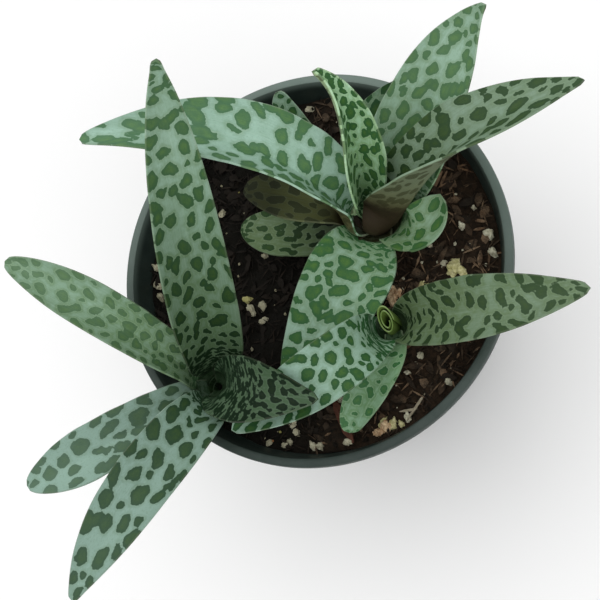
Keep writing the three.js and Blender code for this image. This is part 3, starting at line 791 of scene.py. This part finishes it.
def lay_grains(name, grains, specks, patterns, brim, draw, material):
    """Grains at their places, pulled in from the pot's wall, and specks of the same strewn about."""
    places = []
    for x, y, size in grains:
        inward = min(1, (brim - 0.8 * size) / math.hypot(x, y))
        x, y = x * inward, y * inward
        sizes = (size * draw.uniform(1, 1.3), size * draw.uniform(0.8, 1), size * 0.85)
        turns = (draw.uniform(0, math.pi), draw.uniform(-1, 1))
        # Grains and specks are dimmed by the soil's painted shade.
        tone = draw.uniform(0.7, 1.1) * mix(0.45, 1, dryness_and_shade(x, y))
        places.append((resting(x, y, sizes, *turns, 0.5), tone))
    for _ in range(specks):
        x, y = free_spot(draw, SPECK["reach"], SPECK["clear"])
        size = draw.uniform(*SPECK["size"])
        places.append((resting(x, y, (size, size, size), draw.uniform(0, 3), 0, 0.3), 0.9 * dryness_and_shade(x, y)))
    lay_out(name, patterns, places, material)


class SQUILL_OT_soil(bpy.types.Operator):
    """Fill the pot with a crumbly mix of peat, bark and pale grains"""

    bl_idname = "squill.soil"
    bl_label = "Soil"

    def execute(self, context):
        settings = context.scene.squill_soil
        draw = random.Random(SEED)
        noise.seed_set(SEED)
        brim = inside_radius(SOIL_TOP) - 0.05
        peat = soil_material("peat", settings.peat, shown(74, 56, 40), 0.95, 700, 0.0006)
        bark = soil_material("bark", shown(20, 16, 10), settings.bark, 0.8, 500, 0.0003, shown(104, 78, 56))
        lay_body(brim, peat)

        flakes = [splinter("flake", draw, 2, 0.05) for _ in range(5)]
        slivers = [splinter("sliver", draw, 1, 0.3) for _ in range(4)]
        lumps = [rough_lump("crumb", draw, 1, 0.5) for _ in range(4)]
        grains = [rough_lump("grain", draw, 3, 0.6) for _ in range(7)]
        places = []
        # Chips and slivers take the soil's paleness, painted shade included.
        for _ in range(settings.chips):
            matrix, dry = strewn(draw, CHIP)
            places.append((matrix, dry * draw.uniform(0.1, 0.9) ** 1.4))
        for x, y, long, wide, turn in PALE_CHIPS:
            matrix = resting(x, y, (long, wide, 0.8), math.radians(turn), draw.uniform(-0.15, 0.15), LYING)
            places.append((matrix, draw.uniform(0.9, 1.3)))
        lay_out("bark_chips", flakes, places, bark)
        places = []
        for _ in range(settings.fibres):
            matrix, dry = strewn(draw, SLIVER)
            places.append((matrix, dry * (0.12 + 1.5 * draw.random() ** 2.4)))
        lay_out("bark_fibres", slivers, places, bark)
        places = []
        for _ in range(settings.crumbs):
            x, y = free_spot(draw, CRUMB["reach"], CRUMB["clear"])
            size = draw.uniform(*CRUMB["size"])
            turns = draw.uniform(0, math.pi), draw.uniform(-1, 1)
            matrix = resting(x, y, (size, size, size), *turns, 0.1)
            # Crumbs are dimmed by the soil's painted shade.
            places.append((matrix, dryness_and_shade(x, y) * draw.uniform(0, 0.8)))
        lay_out("peat_crumbs", lumps, places, peat)

        white = soil_material("white_grain", shown(140, 136, 110), settings.grain, 0.85, 900, 0.0002)
        cream = soil_material("cream_grain", shown(150, 146, 84), settings.cream_grain, 0.85, 900, 0.0002)
        tan = soil_material("tan_grain", shown(146, 98, 60), settings.tan_grain, 0.85, 800, 0.0004)
        lay_grains("white_grains", WHITE_GRAINS, 70, grains, brim, draw, white)
        lay_grains("cream_grains", CREAM_GRAINS, 8, grains, brim, draw, cream)
        lay_grains("tan_grains", TAN_GRAINS, 6, grains, brim, draw, tan)
        for pattern in flakes + slivers + lumps + grains:
            bpy.data.objects.remove(pattern)

        wood = soil_material("dry_wood", shown(112, 104, 86), shown(196, 188, 164), 0.8, 500, 0.0002)
        husk = soil_material("dead_stalk", shown(50, 30, 20), shown(104, 62, 46), 0.7, 400, 0.0003)
        sticks = [("twig_%d" % index, twig, wood) for index, twig in enumerate(TWIGS)]
        for name, ends, material in (*sticks, ("dead_stalk", STALK, husk)):
            stick = bar(name, *ends)
            paint(stick, material)
            smooth_faces(stick, 60)
            finish_piece(stick)
        return {"FINISHED"}


def bulb_material():
    """Papery brown tunic, and dark green where the attribute heart marks the nested sheaths in the neck."""
    made, tree, bsdf = new_material("bulb_tunic")
    place = object_place(tree)
    streaks = mottled(tree, stretched(tree, place, 1, 1, 0.15), 420, 0, 1)
    tunic = mixed(tree, streaks, shown(44, 30, 22), shown(104, 82, 60))
    sheath = mixed(tree, streaks, shown(20, 38, 18), shown(48, 74, 42))
    ribs = noise_of(tree, stretched(tree, place, 1, 1, 0.1), 1500, 3)
    fill(tree, bsdf, {
        "Base Color": mixed(tree, attribute_of(tree, "heart"), tunic, sheath),
        "Roughness": mottled(tree, place, 200, 0.5, 0.75),
        "Specular IOR Level": 0.2,
        "Normal": bumped(tree, ribs, 0.6, 0.0003),
    })
    return made


def bulb_profile(swell, neck):
    """A bulb's outline from its foot to its neck, and in over the rims of the sheaths nested there."""
    profile = [(3, BULB_FOOT), (swell * 0.82, BULB_FOOT + 3.5)]
    for row in range(BULB_ROWS + 1):
        share = row / BULB_ROWS
        waist = mix(swell, neck, smooth(share, 0.45, 0.85))
        profile.append((waist + 0.25 * math.sin(9 * share), mix(SOIL_TOP - 7, NECK_TOP, share)))
    profile.append((neck - 0.6, NECK_TOP - 0.3))
    for rim, drop in SHEATH_RIMS:
        for aside, above in ((0.3, 0), (0.05, 1.2), (-0.25, 1.2), (-0.45, -0.2)):
            profile.append((neck * rim + aside, NECK_TOP - drop + above))
    return [*profile, (neck * 0.28, SOIL_TOP - 3)]


class SQUILL_OT_bulbs(bpy.types.Operator):
    """Stand the three small bulbs in the soil, each with a papery neck"""

    bl_idname = "squill.bulbs"
    bl_label = "Bulbs"

    def execute(self, context):
        tunic = bulb_material()
        for key, bulb in BULBS.items():
            neck = bulb["neck"]
            profile = bulb_profile(bulb["swell"], neck)
            made = turned("bulb_" + key + "_tunic", profile, BULB_SIDES, (bulb["x"], bulb["y"]))
            middle = Vector((bulb["x"], bulb["y"], 0)) * MM
            for vertex in made.data.vertices:
                outward = vertex.co - middle
                turn = math.atan2(outward.y, outward.x)
                height = vertex.co.z / MM
                pleat = PLEAT * noise.noise(Vector((math.cos(turn) * 6, math.sin(turn) * 6, height / 12)))
                torn = TORN * noise.noise(Vector((math.cos(turn) * 3, math.sin(turn) * 3, 8)))
                flat = Vector((outward.x, outward.y, 0)).normalized()
                vertex.co += flat * pleat * MM * (1 if height > SOIL_TOP - 4 else 0)
                if height > NECK_TOP - 0.5:
                    vertex.co.z += min(0, torn) * MM
            hearts = []
            for vertex in made.data.vertices:
                reach = math.hypot(vertex.co.x - middle.x, vertex.co.y - middle.y) / MM
                inside = reach < neck * 0.9 and vertex.co.z > (SOIL_TOP - 4) * MM
                hearts.append(1 if inside else smooth(neck - reach, 0.1, 0.6))
            keep_values(made, "heart", hearts)
            paint(made, tunic)
            smooth_faces(made, 60)
            finish_piece(made, ["bulb_" + key])
        return {"FINISHED"}


def rib_of(leaf):
    """The four points of a leaf's rib, from its foot on the neck to its tip, in millimetres."""
    bulb = BULBS[leaf["bulb"]]
    turn = math.radians(leaf["angle"])
    outward = Vector((math.cos(turn), math.sin(turn), 0))
    underside = RIB_THICKNESS * leaf["out"] / math.hypot(leaf["out"], leaf["up"])
    foot = Vector((bulb["x"], bulb["y"], NECK_TOP + GAP + underside)) + outward * leaf["ring"]
    rise = foot + outward * leaf["out"] + UP * leaf["up"]
    return [foot, rise, Vector(leaf["bend"]), Vector(leaf["tip"])]


def rib_point(rib, along):
    back = 1 - along
    weights = (back**3, 3 * back**2 * along, 3 * back * along**2, along**3)
    return sum((point * weight for point, weight in zip(rib, weights)), Vector())


def rib_direction(rib, along):
    back = 1 - along
    weights = (back**2, 2 * back * along, along**2)
    steps = [rib[place + 1] - rib[place] for place in range(3)]
    return sum((step * weight for step, weight in zip(steps, weights)), Vector()).normalized()


def half_width(leaf, along):
    if along < leaf["belly"]:
        clasped = leaf["ring"] * math.radians(leaf["clasp"])
        return mix(clasped, leaf["half"], math.sin(math.pi / 2 * along / leaf["belly"]))
    tapered = leaf["half"] * (1 - ((along - leaf["belly"]) / (1 - leaf["belly"])) ** leaf["taper"])
    left = (1 - along) * leaf["length"]
    return math.sqrt(tapered**2 + 2 * leaf["blunt"] * left * math.exp(-left / 2 / leaf["blunt"]))


def blade_section(leaf, rib, along):
    """What places the points across the blade at one step along it."""
    share = max(0, along)
    forward = rib_direction(rib, share)
    side = forward.cross(UP).normalized()
    roll = math.radians(smooth(share, 0, 0.2) * mix(*leaf["roll"], share))
    side.rotate(Quaternion(forward, -roll))
    opened = smooth(share, 0, 0.25)
    return {
        "point": rib_point(rib, share) + forward * min(0, along) * ROOTED,
        "side": side,
        "up": side.cross(forward),
        "fold": math.radians(opened * mix(*leaf["fold"], share)),
        "curl": mix(math.radians(leaf["clasp"]), math.radians(leaf["curl"]), opened),
        "width": half_width(leaf, share),
    }


def blade_point(section, across):
    fold, curl, width = section["fold"], section["curl"], section["width"]
    slope = fold + curl * abs(across)
    sideways = math.copysign(math.sin(slope) - math.sin(fold), across) / curl
    upwards = (math.cos(fold) - math.cos(slope)) / curl
    return section["point"] + section["side"] * (width * sideways) + section["up"] * (width * upwards)


def spot_width(leaf, along):
    """Half the width that the pattern sees: near the foot the pattern narrows less than the blade."""
    width = half_width(leaf, along)
    if along < leaf["belly"]:
        return mix(width, leaf["half"], 0.45)
    return max(width, 0.4)


def stripes_of(leaf, draw):
    """Rows of thin blotches across the foot of the blade, given as the blotches are."""
    stripes = []
    end = leaf["stripes"] * leaf["length"]
    y = -ROOTED
    while leaf["stripes"] and y < end:
        grown = smooth(y, 0, end)
        wide = STRIPES["wide"] * mix(0.85, 1.3, grown)
        side = spot_width(leaf, max(0, y / leaf["length"]))
        x = -side - draw.uniform(0, 3)
        while x < side:
            long = draw.uniform(*STRIPES["long"]) * mix(1.2, 0.8, grown)
            lean = math.radians(draw.gauss(90, 5))
            stripes.append((x + long, y + draw.gauss(0, 0.12), long, wide * draw.uniform(0.8, 1.15), lean))
            x += 2 * long + STRIPES["gap"]
        y += 2 * wide + STRIPES["gap"]
    return stripes


def spots_of(leaf, draw):
    """Blotches as (x, y, half length, half width, turn) in millimetres on the flattened blade."""
    spots = stripes_of(leaf, draw)
    length = leaf["length"]
    tries = int(2 * length * leaf["half"])
    for attempt in range(tries):
        along = draw.uniform(leaf["stripes"] or -ROOTED / length, 1)
        x = draw.uniform(-1, 1) * spot_width(leaf, max(0, along))
        y = along * length
        foot = 1 - smooth(along, leaf["stripes"], leaf["stripes"] + 0.15)
        fine = mix(1, 0.6, foot) * mix(1, 0.65, smooth(along, 0.8, 1))
        sizes = (0.9, 1.3) if attempt < tries * LARGE_FIRST else (0.5, 0.9)
        size = leaf["spot"] * fine * draw.uniform(*sizes)
        stretch = mix(leaf["long"] * draw.uniform(0.75, 1.25), draw.uniform(1.6, 2.4), foot)
        turn = math.radians(draw.gauss(mix(leaf["slant"], leaf["foot_slant"], foot), mix(22, 8, foot)))
        long, wide = size * math.sqrt(stretch), size / math.sqrt(stretch)
        for other in spots:
            ahead = (y - other[1]) * math.cos(turn) + (x - other[0]) * math.sin(turn)
            aside = (x - other[0]) * math.cos(turn) - (y - other[1]) * math.sin(turn)
            if math.hypot(ahead / stretch, aside) < wide + other[3] + leaf["apart"] * fine:
                break
        else:
            spots.append((x, y, long, wide, turn))
            if draw.random() < LOBES:
                lean = draw.uniform(0, 2 * math.pi)
                reach = size * 1.4
                lobe = x + reach * math.cos(lean), y + reach * math.sin(lean)
                spots.append((*lobe, size, size * 0.75, turn))
    return spots


def spot_field(xs, ys, spots, draw):
    """How far each point lies outside the nearest blotch, in millimetres, and negative inside it."""
    waves = [draw.uniform(0, 2 * math.pi) for _ in range(4)]
    bent_x = xs + 0.25 * np.sin(1.3 * ys + waves[0]) + 0.1 * np.sin(2.9 * ys + 0.8 * xs + waves[1])
    bent_y = ys + 0.25 * np.sin(1.2 * xs + waves[2]) + 0.1 * np.sin(2.6 * xs - 0.9 * ys + waves[3])
    field = np.full(len(xs), 3.0)
    for x, y, long, wide, turn in spots:
        right, ahead = bent_x - x, bent_y - y
        lengthwise = ahead * math.cos(turn) + right * math.sin(turn)
        sideways = right * math.cos(turn) - ahead * math.sin(turn)
        reach = np.sqrt((lengthwise / long) ** 2 + (sideways / wide) ** 2)
        np.minimum(field, (reach - 1) * wide, out=field)
    return field


def shaded(tree, colour, factor):
    made = add_node(tree, "ShaderNodeVectorMath", {"operation": "SCALE"}, Vector=colour, Scale=factor)
    return made.outputs["Vector"]


def ragged(tree, blade, distance, scale, depth):
    """The distance to the nearest blotch, made uneven so that the blotch's edge is torn."""

    def build(group, given):
        uneven = noise_of(group, given["Vector"], given["Scale"], 3, 0.6)
        uneven = times(group, calculated(group, "SUBTRACT", uneven, 0.5), given["Depth"])
        return plus(group, given["Distance"], uneven)

    return effect(tree, "squill_ragged", build, Vector=blade, Distance=distance, Scale=scale, Depth=depth)


def veined(tree, blade):
    """The fine veins along a blade."""

    def build(group, given):
        return noise_of(group, stretched(group, given["Vector"], 24, 0.9), 1, 3, 0.6)

    return effect(tree, "squill_veins", build, Vector=blade)


def leaf_marks(tree):
    """What each blade carries: its marks, its finish and its flattened map in centimetres.

    marks holds the distance to the nearest blotch, the distance to the edge and the share of the sheath.
    finish holds how silvery the leaf is, how light it is by painted light and shade, how olive it is, and
    how brown its sheath.
    """
    finish = add_node(tree, "ShaderNodeAttribute", {"attribute_name": "finish"}).outputs
    values = [*parts_of(tree, attribute_of(tree, "marks", "Vector")), *parts_of(tree, finish["Vector"])]
    return [*values, finish["Alpha"]], add_node(tree, "ShaderNodeUVMap", {"uv_map": "blade"}).outputs["UV"]


def leaf_top_material(settings):
    """Silvery ground with dark blotches, greener round each, fine veins and a thin pale edge, lightened and
    darkened by painted light and shade.
    """
    made, tree, bsdf = new_material("leaf_top")
    (distance, from_edge, sheath, bloom, light, warm, brown), blade = leaf_marks(tree)
    distance = ragged(tree, blade, distance, 4, 1.1)
    distance = ragged(tree, blade, distance, 12, 0.5)
    halo = ranged(tree, distance, 0.1, 0.9, 0.5, 0)
    greener = times(tree, plus(tree, halo, mottled(tree, blade, 1.3, 0, 0.45)), 0.6)
    greener = plus(tree, greener, calculated(tree, "SUBTRACT", 1, bloom), clamp=True)
    ground = mixed(tree, greener, settings.silver, settings.green)
    ground = mixed(tree, times(tree, warm, 0.9), ground, settings.olive)
    veins = veined(tree, blade)
    ground = mixed(tree, ranged(tree, veins, 0.45, 0.75, 0, 0.12), ground, shown(182, 204, 188))
    pores = noise_of(tree, stretched(tree, blade, 30, 16), 1, 2, 0.6)
    ground = mixed(tree, ranged(tree, pores, 0.52, 0.72, 0, 0.3), ground, shown(104, 130, 108))
    ground = mixed(tree, ranged(tree, distance, 0.1, 0.3, 0.14, 0), ground, shown(170, 196, 168))
    inner = times(tree, ranged(tree, distance, -0.9, -0.15, 1, 0), mottled(tree, blade, 4, 0.1, 0.9))
    dark = mixed(tree, inner, settings.spot, shown(72, 108, 46))
    dark = mixed(tree, times(tree, warm, 0.7), dark, shown(78, 74, 38))
    # Painted light and shade: light scales the ground, and dim darkens the blotches faster where the shade
    # is deep.
    dim = calculated(tree, "POWER", calculated(tree, "MINIMUM", light, 1.1), 2.3)
    clear = calculated(tree, "SUBTRACT", 1, attribute_of(tree, "faint"))
    spot = times(tree, ranged(tree, distance, -0.04, 0.09, 1, 0), clear)
    colour = mixed(tree, spot, shaded(tree, ground, light), shaded(tree, dark, dim))
    husk = mixed(tree, brown, settings.heart, settings.husk)
    colour = mixed(tree, times(tree, sheath, 0.9), colour, husk)
    pale = shaded(tree, shown(150, 162, 134), light)
    fill(tree, bsdf, {
        "Base Color": mixed(tree, ranged(tree, from_edge, 0.02, 0.25, 0.15, 0), colour, pale),
        "Roughness": ranged(tree, veins, 0.2, 0.8, 0.42, 0.55),
        "Normal": bumped(tree, plus(tree, veins, times(tree, pores, 0.5)), 0.35, 0.0003),
        "IOR": 1.4,
        "Specular IOR Level": 0.18,
    })
    return made


def leaf_under_material(settings):
    """The underside: brown at the sheath, then dull olive with faint blotches, and greener to the tip."""
    made, tree, bsdf = new_material("leaf_under")
    (distance, _, sheath, _, light, _, brown), blade = leaf_marks(tree)
    distance = ragged(tree, blade, distance, 5, 1.2)
    ground = mixed(tree, mottled(tree, blade, 2.2, 0, 1), settings.under, shown(90, 88, 54))
    up = parts_of(tree, blade)["Y"]
    ground = mixed(tree, ranged(tree, up, 1.5, 4, 0, 0.6), ground, shown(118, 136, 110))
    ground = mixed(tree, ranged(tree, light, 1, 1.6), ground, shown(146, 168, 128))
    colour = mixed(tree, ranged(tree, distance, -0.15, 0.15, 0.7, 0), ground, shown(50, 52, 26))
    husk = mixed(tree, brown, settings.heart, settings.husk)
    fill(tree, bsdf, {
        "Base Color": mixed(tree, ranged(tree, sheath, 0, 0.4, 0, 0.95), colour, husk),
        "Roughness": 0.65,
        "Specular IOR Level": 0.2,
        "Normal": bumped(tree, veined(tree, blade), 0.4, 0.0003),
    })
    return made


def leaf_blade(name, leaf, edge, index, finishes):
    """A grid laid over the leaf's formula, thickened below and marked for its materials."""
    rib = rib_of(leaf)
    samples = [rib_point(rib, step / RIB_STEPS) for step in range(RIB_STEPS + 1)]
    length = sum((after - before).length for before, after in zip(samples, samples[1:]))
    leaf = {**leaf, "length": length}
    bulb = BULBS[leaf["bulb"]]
    steps_along = round(length / LEAF_STEP)
    steps_across = 2 * round(leaf["half"] / LEAF_STEP)
    select_none()
    bpy.ops.mesh.primitive_grid_add(x_subdivisions=steps_across, y_subdivisions=steps_along, size=2)
    made = just_added(name + "_blade")
    mesh = made.data
    foot_share = ROOTED / length
    neck = Vector((bulb["x"], bulb["y"]))
    count = len(mesh.vertices)
    flat = np.empty(count * 3)
    mesh.vertices.foreach_get("co", flat)
    flat = flat.reshape(-1, 3)
    shares = (flat[:, 1] + 1) / 2
    shares = mix(shares, shares**2, FOOT_CLOSER)
    alongs = shares * (1 + foot_share) - foot_share
    acrosses = flat[:, 0]
    draw = random.Random(name)
    wave = draw.uniform(0, 40)
    sections = {}
    spread = np.empty(count)
    widths = np.empty(count)
    for place, vertex in enumerate(mesh.vertices):
        along, across = float(alongs[place]), float(acrosses[place])
        key = round(along, 5)
        if key not in sections:
            section = blade_section(leaf, rib, along if along >= 0 else along / foot_share)
            section["spread"] = spot_width(leaf, max(0, along))
            section["back"] = rib_direction(rib, 1) * (TIP_BACK * smooth(along, 0.9, 1))
            sections[key] = section
        section = sections[key]
        point = blade_point(section, across)
        ripple = RIPPLE * noise.noise(Vector((along * length / 6, across * 0.8, wave))) * across * across
        point += section["up"] * ripple * smooth(along, 0.1, 0.4) * smooth(1 - along, 0, 0.25)
        point -= section["back"]
        if along < 0:
            point.xy = point.xy.lerp(neck, leaf["draw_in"] * smooth(-along / foot_share, 0, 1))
        vertex.co = point * MM
        spread[place] = section["spread"]
        widths[place] = section["width"]
    xs = acrosses * spread
    ys = alongs * length
    field = spot_field(xs, ys, spots_of(leaf, draw), draw)
    sheath = np.clip(1 - (alongs - leaf["husk"] * 0.5) / max(0.02, leaf["husk"]), 0, 1)
    marks = np.stack([field, (1 - np.abs(acrosses)) * widths, sheath * sheath], axis=1)
    # shade carries painted light and shade along the leaf, and down in the neck painted light lifts it.
    bloom, shade = [np.interp(alongs, (0.05, 0.7), leaf[key]) for key in ("bloom", "shade")]
    shade *= np.interp(alongs, (-foot_share, 0.12), (NECK_PAINTED_LIGHT, 1))
    same = np.ones(count)
    tints_and_shade = np.stack([bloom, shade, same * leaf["warm"], same * bulb["brown"]], axis=1)
    keep_values(made, "marks", marks.ravel(), "FLOAT_VECTOR", "vector")
    keep_values(made, "finish", tints_and_shade.ravel(), "FLOAT_COLOR", "color")
    keep_values(made, "faint", np.interp(alongs, (0.2, 0.9), leaf["faint"]))
    thin = made.vertex_groups.new(name="thickness")
    for place, across in enumerate(acrosses):
        thin.add([place], 1 - (1 - EDGE_SHARE) * across * across, "REPLACE")
    layer = mesh.uv_layers.active
    layer.name = "blade"
    corners = np.empty(len(mesh.loops), dtype=np.int32)
    mesh.loops.foreach_get("vertex_index", corners)
    flat_map = np.stack([xs[corners] / 10 + MAP_STEP * index, ys[corners] / 10], axis=1)
    layer.data.foreach_set("uv", flat_map.ravel())
    select_only(made)
    edit_all()
    bpy.ops.mesh.remove_doubles(threshold=0.02 * MM)
    bpy.ops.object.mode_set(mode="OBJECT")
    paint(made, *finishes)
    thickness = edge / EDGE_SHARE
    apply_modifier(
        made, "SOLIDIFY", thickness=thickness, offset=-1, material_offset=1, vertex_group="thickness"
    )
    return made


class SQUILL_OT_leaves(bpy.types.Operator):
    """Grow the spotted leaves from the necks of the bulbs"""

    bl_idname = "squill.leaves"
    bl_label = "Leaves"

    def execute(self, context):
        settings = context.scene.squill_leaves
        finishes = leaf_top_material(settings), leaf_under_material(settings)
        for index, (name, leaf) in enumerate(LEAVES.items()):
            blade = leaf_blade(name, leaf, settings.edge, index, finishes)
            smooth_faces(blade, 50)
            finish_piece(blade, [name])
        return {"FINISHED"}


def bud_material():
    """Streaky lime green, darker down in the neck as painted shade, and paler along the rolled edge."""
    made, tree, bsdf = new_material("bud_green")
    rise = attribute_of(tree, "rise")
    streaks = mottled(tree, stretched(tree, object_place(tree), 1, 1, 0.2), 500, 0, 1)
    upper = mixed(tree, streaks, shown(84, 108, 44), shown(108, 132, 62))
    # Darker low down: painted shade inside the neck.
    colour = mixed(tree, ranged(tree, rise, 0.1, 0.7), shown(56, 80, 28), upper)
    colour = mixed(tree, ranged(tree, rise, 0.96, 1), colour, shown(108, 132, 70))
    fill(tree, bsdf, {"Base Color": colour, "Roughness": 0.4})
    return made


class SQUILL_OT_bud(bpy.types.Operator):
    """Roll up the young lime green leaf of bulb c"""

    bl_idname = "squill.bud"
    bl_label = "Bud"

    def execute(self, context):
        select_none()
        bpy.ops.mesh.primitive_grid_add(x_subdivisions=130, y_subdivisions=30, size=2)
        bud = just_added("bud_c_roll")
        bulb = BULBS["c"]
        full_turn = 2 * math.pi
        pitch = (BUD["blade"] + BUD["slack"]) / full_turn
        rise = []
        for vertex in bud.data.vertices:
            angle = (vertex.co.x + 1) / 2 * BUD["turns"] * full_turn
            up = (vertex.co.y + 1) / 2
            radius = (BUD["radius"] - pitch * angle) * mix(1, BUD["narrow"], up * up)
            x = BUD["wide"] * radius * math.cos(angle)
            y = BUD["deep"] * radius * math.sin(angle)
            slant = 1 - BUD["slant"] * 0.5 * (1 - y / BUD["deep"] / BUD["radius"])
            dip = BUD["dip"] * angle / full_turn
            height = NECK_TOP - BUD["root"] + up * ((BUD["height"] + BUD["root"]) * slant - dip)
            vertex.co = Vector((bulb["x"] + x, bulb["y"] + y + BUD["back"], height)) * MM
            rise.append(up)
        keep_values(bud, "rise", rise)
        apply_modifier(bud, "SOLIDIFY", thickness=BUD["blade"] * MM, offset=-1)
        paint(bud, bud_material())
        smooth_faces(bud, 50)
        finish_piece(bud, ["bud_c"])
        return {"FINISHED"}


def soft_light(name, place, size, power):
    """A square area light that faces the plant."""
    select_none()
    bpy.ops.object.light_add(type="AREA", location=place)
    light = just_added(name)
    light.data.shape = "SQUARE"
    light.data.size = size
    light.data.energy = power
    light.rotation_euler = (Vector((0, 0, 0.09)) - Vector(place)).to_track_quat("-Z", "Y").to_euler()


class SQUILL_OT_stage(bpy.types.Operator):
    """Set the pale floor, the soft lights and the camera"""

    bl_idname = "squill.stage"
    bl_label = "Stage"

    def execute(self, context):
        settings = context.scene.squill_stage
        select_none()
        bpy.ops.mesh.primitive_plane_add(size=FLOOR_SIZE)
        floor = just_added("floor")
        made, tree, bsdf = new_material("floor")
        fill(tree, bsdf, {"Base Color": (*settings.floor, 1), "Roughness": 0.8})
        paint(floor, made)
        world = bpy.data.worlds.new("soft_sky")
        world.use_nodes = True
        sky = world.node_tree.nodes["Background"]
        fill(world.node_tree, sky, {"Color": (1, 1, 1, 1), "Strength": settings.sky})
        context.scene.world = world
        for name, (place, size, share) in LIGHTS.items():
            soft_light(name, place, size, settings.key * share)

        tilt, turn = math.radians(CAMERA["tilt"]), math.radians(CAMERA["turn"])
        back = Vector((math.sin(tilt) * math.cos(turn), math.sin(tilt) * math.sin(turn), math.cos(tilt)))
        right = Vector((0, 1, 0)).cross(back).normalized()
        facing = Matrix((right, back.cross(right), back)).transposed().to_4x4()
        place = (Vector(CAMERA["aim"]) + back * CAMERA["distance"]) * MM
        bpy.ops.object.camera_add(location=place)
        camera = just_added("photo_camera")
        camera.matrix_world = Matrix.Translation(place) @ facing
        camera.data.lens = CAMERA["lens"]
        camera.data.sensor_width = 36
        camera.data.clip_start = 0.01
        context.scene.camera = camera
        context.scene.view_settings.view_transform = "Standard"
        return {"FINISHED"}


class SQUILL_PT_panel(bpy.types.Panel):
    """Lists the pieces of the plant with their settings"""

    bl_idname = "SQUILL_PT_panel"
    bl_label = "Potted silver squill"
    bl_space_type = "VIEW_3D"
    bl_region_type = "UI"
    bl_category = "Squill"

    def draw(self, context):
        for operator, group in STEPS:
            box = self.layout.box()
            box.operator(operator)
            if group:
                settings = getattr(context.scene, group)
                for key in settings.bl_rna.properties.keys():
                    if key not in {"rna_type", "name"}:
                        box.prop(settings, key)


STEPS = [
    ("squill.pot", "squill_pot"),
    ("squill.soil", "squill_soil"),
    ("squill.bulbs", None),
    ("squill.leaves", "squill_leaves"),
    ("squill.bud", None),
    ("squill.stage", "squill_stage"),
]
GROUPS = {
    "squill_pot": SquillPotSettings,
    "squill_soil": SquillSoilSettings,
    "squill_leaves": SquillLeafSettings,
    "squill_stage": SquillStageSettings,
}
CLASSES = [
    *GROUPS.values(),
    SQUILL_OT_pot,
    SQUILL_OT_soil,
    SQUILL_OT_bulbs,
    SQUILL_OT_leaves,
    SQUILL_OT_bud,
    SQUILL_OT_stage,
    SQUILL_PT_panel,
]


def register():
    for one in CLASSES:
        bpy.utils.register_class(one)
    for name, group in GROUPS.items():
        setattr(bpy.types.Scene, name, bpy.props.PointerProperty(type=group))


def unregister():
    for name in GROUPS:
        delattr(bpy.types.Scene, name)
    for one in reversed(CLASSES):
        bpy.utils.unregister_class(one)


def main():
    register()
    bpy.ops.squill.pot()
    bpy.ops.squill.soil()
    bpy.ops.squill.bulbs()
    bpy.ops.squill.leaves()
    bpy.ops.squill.bud()
    bpy.ops.squill.stage()
    bpy.context.view_layer.update()


if __name__ == "__main__":
    main()
